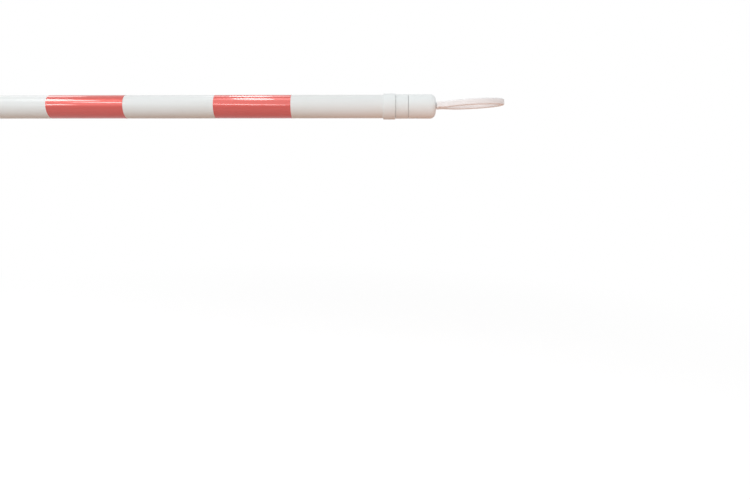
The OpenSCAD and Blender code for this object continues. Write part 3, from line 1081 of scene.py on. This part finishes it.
class BAR_OT_screws(Operator):
    """Set the cross-recess screws under the caps"""

    bl_idname = "bar.screws"
    bl_label = "Screws"

    # Turns of the cross's two arms, and an arm's shares of the recess at its mouth and its floor
    ARM_TURNS = (math.radians(45.0), math.radians(135.0))
    MOUTH_LENGTH_SHARE = 1.1
    FLOOR_LENGTH_SHARE = 0.55
    FLOOR_WIDTH_SHARE = 0.8

    def execute(self, context):
        sizes = context.scene.bar_sizes
        for end, body in ENDS.items():
            node = f"{end}_screw"
            keep_piece(f"{node}_fine", self.screw(sizes, node), body, [node], "steel")
        return {"FINISHED"}

    def screw(self, sizes, node):
        """Crowned head with a tapered cross recess on a plain shank"""
        low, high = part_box(node)
        radius, neck = half_width(node), low.z + sizes.head_height
        outline = softened((
            (low.z, 0.0, 0.0), (low.z, radius, sizes.head_crown), (neck, radius, sizes.tube_edge),
            (neck, sizes.screw_shank, 0.0), (high.z, sizes.screw_shank, sizes.tube_edge),
            (high.z, 0.0, 0.0),
        ), sizes.corner_steps)
        mesh = turned(outline, sizes.turn_steps // 2)
        shift = Matrix.Translation((middle_x(node), 0.0, 0.0))
        stand = shift @ Matrix.Rotation(-math.pi / 2, 4, "Y")
        mesh.transform(stand @ Matrix.Translation((0.0, 0.0, -AXIS_Z)))
        mesh.update()
        for turn in self.ARM_TURNS:
            arm = self.wedge(sizes, low.z, shift @ Matrix.Rotation(turn, 4, "Z"))
            mesh = carved(mesh, arm, "DIFFERENCE")
        return mesh

    def wedge(self, sizes, face, place):
        """One arm of the cross: a bar that narrows into the head"""
        bm = bmesh.new()
        bmesh.ops.create_cube(bm, size=1.0)
        depth = sizes.drive_depth
        for vertex in bm.verts:
            inner = vertex.co.z > 0
            taper = self.FLOOR_LENGTH_SHARE if inner else self.MOUTH_LENGTH_SHARE
            vertex.co.x *= sizes.drive_length * taper
            vertex.co.y *= sizes.drive_width * (self.FLOOR_WIDTH_SHARE if inner else 1.0)
            vertex.co.z = face + (depth if inner else -depth)
        bmesh.ops.transform(bm, matrix=place, verts=bm.verts)
        return mesh_from(bm)


class BAR_OT_inside(Operator):
    """Give the pieces inside the bar their finishes"""

    bl_idname = "bar.inside"
    bl_label = "Inside pieces"

    PIECES = {
        "grey_plastic": ("guide_bush", "lock_collet", "stop_bush", "inner_tail_plug",
                         "head_insert", "tail_insert"),
        "felt": ("wiper_ring",),
        "rubber": ("drag_ring",),
        "steel": ("retaining_clip",),
    }

    def execute(self, context):
        for slot, nodes in self.PIECES.items():
            for piece in (frame["nodes"][node] for node in nodes):
                piece.data.materials.clear()
                piece.data.materials.append(finish_of(slot))
        return {"FINISHED"}


# Lamps: each runs from one place along the bar to another, at angles above the front and a
# distance from the bar. A card shows in reflections only, and the others light diffusely only.
# An oval card's reflection tapers to its ends
LAMPS = (
    dict(name="front_fill", x=(-0.9, 2.1), degrees=(20.0, 20.0), distance=2.0, width=1.3,
         level=1.05, card=False, oval=False),
    dict(name="head_fill", x=(1.2, 2.0), degrees=(35.0, 35.0), distance=1.3, width=0.6,
         level=0.6, card=False, oval=False),
    dict(name="head_bounce", x=(1.18, 1.5), degrees=(-60.0, -60.0), distance=0.45, width=0.3,
         level=1.4, card=False, oval=False, tint=WARM),
    dict(name="side_fill", x=(-2.5, -2.5), degrees=(0.0, 60.0), distance=1.0, width=1.0,
         level=9.0, card=False, oval=False, aim=1.2),
    dict(name="wall_card", x=(-1.6, 2.6), degrees=(40.0, 40.0), distance=2.2, width=2.5,
         level=1.05, oval=False),
    dict(name="left_card", x=(-0.636, -0.066), degrees=(60.0, 60.0), distance=1.5, width=0.32,
         level=13.5),
    dict(name="high_card", x=(-0.62, -0.172), degrees=(72.3, 72.3), distance=1.52, width=0.36,
         level=12.5),
    dict(name="low_card", x=(-0.573, -0.163), degrees=(17.0, 17.0), distance=1.5, width=0.3,
         level=12.5),
    dict(name="back_card", x=(-0.566, -0.12), degrees=(117.0, 117.0), distance=1.5, width=0.6,
         level=3.2),
    dict(name="upper_card", x=(0.458, 0.634), degrees=(114.5, 114.5), distance=1.5, width=0.5,
         level=6.3),
    dict(name="upper_glow", x=(0.36, 0.76), degrees=(114.5, 114.5), distance=1.56, width=0.5,
         level=2.2),
    dict(name="lower_card", x=(0.474, 0.64), degrees=(75.3, 75.7), distance=1.5, width=0.66,
         level=10.6),
    dict(name="lower_glow", x=(0.36, 0.76), degrees=(75.3, 75.7), distance=1.56, width=0.66,
         level=2.8),
    dict(name="thin_card", x=(0.27, 0.67), degrees=(22.7, 9.9), distance=1.8, width=0.16,
         level=9.0),
    dict(name="line_card", x=(-0.30, 0.22), degrees=(43.0, 29.5), distance=1.8, width=0.16,
         level=14.0, oval=False),
)


class BAR_OT_stage(Operator):
    """Set the camera, the plain floor and the soft light"""

    bl_idname = "bar.stage"
    bl_label = "Stage"

    def execute(self, context):
        stage = context.scene.bar_stage
        self.camera(context, stage)
        self.floor(context, stage)
        self.world(context, stage)
        for lamp in LAMPS:
            self.lamp(**lamp)
        context.scene.view_settings.view_transform = "Standard"
        return {"FINISHED"}

    def camera(self, context, stage):
        """Camera at the photograph's view of the bar"""
        data = bpy.data.cameras.new("view")
        data.sensor_width = stage.camera_sensor
        data.lens = stage.camera_lens
        camera = place_object("view", data)
        camera.location = (stage.camera_x, -stage.camera_back, -stage.camera_drop)
        camera.rotation_euler = (math.pi / 2 - stage.camera_pitch, 0.0, stage.camera_turn)
        context.scene.camera = camera

    def bare_tree(self, owner):
        """Empty node tree of a material or a world"""
        owner.use_nodes = True
        owner.node_tree.nodes.clear()
        return owner.node_tree

    def seen(self, tree, shown, light):
        """One shader for rays that show the background, and another that lights the bar"""
        path = add(tree, "ShaderNodeLightPath").outputs
        seen = add_math(tree, "MAXIMUM", path["Is Camera Ray"], path["Is Glossy Ray"])
        seen = add_math(tree, "MAXIMUM", seen, path["Is Transmission Ray"])
        return add(tree, "ShaderNodeMixShader", {0: seen, 1: light, 2: shown})

    def floor(self, context, stage):
        """Pale floor that looks white and throws warm light back"""
        half, z = stage.floor_half, AXIS_Z - stage.floor_drop
        mesh = bpy.data.meshes.new("floor")
        corners = [(-half, -half, z), (half, -half, z), (half, half, z), (-half, half, z)]
        mesh.from_pydata(corners, [], [(0, 1, 2, 3)])
        material = bpy.data.materials.new("pale_floor")
        tree = self.bare_tree(material)
        colours = context.scene.bar_colours
        place = add(tree, "ShaderNodeTexCoord").outputs["Object"]
        across = add(tree, "ShaderNodeSeparateXYZ", {0: place}).outputs["Y"]
        aside = add_math(tree, "ABSOLUTE", across)
        spread = add_range(tree, aside, stage.bounce_start, stage.bounce_end)
        bounce = add(tree, "ShaderNodeBsdfDiffuse", {"Color": blend(
            tree, rgba(colours.bounce_near), rgba(colours.bounce_far), spread)})
        pale = add(tree, "ShaderNodeBsdfDiffuse", {"Color": rgba(colours.floor)})
        lift = add(tree, "ShaderNodeEmission", {"Strength": stage.floor_lift})
        near = add(tree, "ShaderNodeAddShader", {0: pale, 1: lift})
        middle = ((CAD_BOX[0].x + CAD_BOX[1].x) / 2, 0.0, z)
        away = add(tree, "ShaderNodeVectorMath", {0: place, 1: middle}, operation="DISTANCE")
        fade = add_range(tree, away.outputs["Value"], stage.fade_start, stage.fade_end)
        far = add(tree, "ShaderNodeEmission", {"Strength": 1.0})
        shown = add(tree, "ShaderNodeMixShader", {0: fade, 1: near, 2: far})
        add(tree, "ShaderNodeOutputMaterial", {0: self.seen(tree, shown, bounce)})
        mesh.materials.append(material)
        floor = place_object("floor", mesh)

    def world(self, context, stage):
        """White surroundings"""
        world = bpy.data.worlds.new("surroundings")
        tree = self.bare_tree(world)
        sky, white = (
            add(tree, "ShaderNodeBackground", {"Color": rgba(WHITE), "Strength": strength})
            for strength in (stage.sky_level, 1.0)
        )
        add(tree, "ShaderNodeOutputWorld", {0: self.seen(tree, white, sky)})
        context.scene.world = world

    def lamp(self, name, x, degrees, distance, width, level,
             tint=WHITE, card=True, oval=True, aim=None):
        """Area lamp that faces the bar at its own place, or at another along the bar"""
        first, last = (self.round_bar(*end, distance) for end in zip(x, degrees))
        middle = (first + last) / 2
        along = (last - first).normalized()
        back = middle - Vector((middle.x if aim is None else aim, 0.0, AXIS_Z))
        back = (back - along * back.dot(along)).normalized()
        data = bpy.data.lights.new(name, "AREA")
        data.shape = "ELLIPSE" if oval else "RECTANGLE"
        data.size, data.size_y = (last - first).length, width
        area = data.size * data.size_y * (math.pi / 4 if oval else 1.0)
        data.energy = level * math.pi * area
        data.color = tint
        lamp = place_object(name, data)
        turn = Matrix((along, back.cross(along), back)).transposed()
        lamp.matrix_world = Matrix.Translation(middle) @ turn.to_4x4()
        lamp.visible_camera = False
        lamp.visible_diffuse = not card
        lamp.visible_glossy = card

    def round_bar(self, along, degrees, distance):
        """Point at a place along the bar, an angle above the front and a distance"""
        turn = math.radians(degrees)
        return Vector((along, -distance * math.cos(turn), AXIS_Z + distance * math.sin(turn)))


class BAR_PT_panel(Panel):
    """Lists the steps that build the bar"""

    bl_idname = "BAR_PT_panel"
    bl_label = "Barrier bar"
    bl_space_type = "VIEW_3D"
    bl_region_type = "UI"
    bl_category = "Bar"

    def draw(self, context):
        for step in STEPS:
            self.layout.operator(step.bl_idname)


STEPS = (
    BAR_OT_stage, BAR_OT_tubes, BAR_OT_films, BAR_OT_lock, BAR_OT_caps, BAR_OT_rings,
    BAR_OT_screws, BAR_OT_inside,
)
SETTINGS = {"bar_sizes": BarSizes, "bar_colours": BarColours, "bar_stage": StageSettings}


def register():
    """Registers the settings, the steps and the panel"""
    for settings in SETTINGS.values():
        bpy.utils.register_class(settings)
    for label, settings in SETTINGS.items():
        setattr(bpy.types.Scene, label, PointerProperty(type=settings))
    for step in STEPS:
        bpy.utils.register_class(step)
    bpy.utils.register_class(BAR_PT_panel)


def unregister():
    """Undoes register"""
    bpy.utils.unregister_class(BAR_PT_panel)
    for step in reversed(STEPS):
        bpy.utils.unregister_class(step)
    for label, settings in SETTINGS.items():
        delattr(bpy.types.Scene, label)
        bpy.utils.unregister_class(settings)


def main():
    """Builds the scene"""
    register()
    for step in STEPS:
        group, name = step.bl_idname.split(".")
        getattr(getattr(bpy.ops, group), name)()


if __name__ == "__main__":
    main()
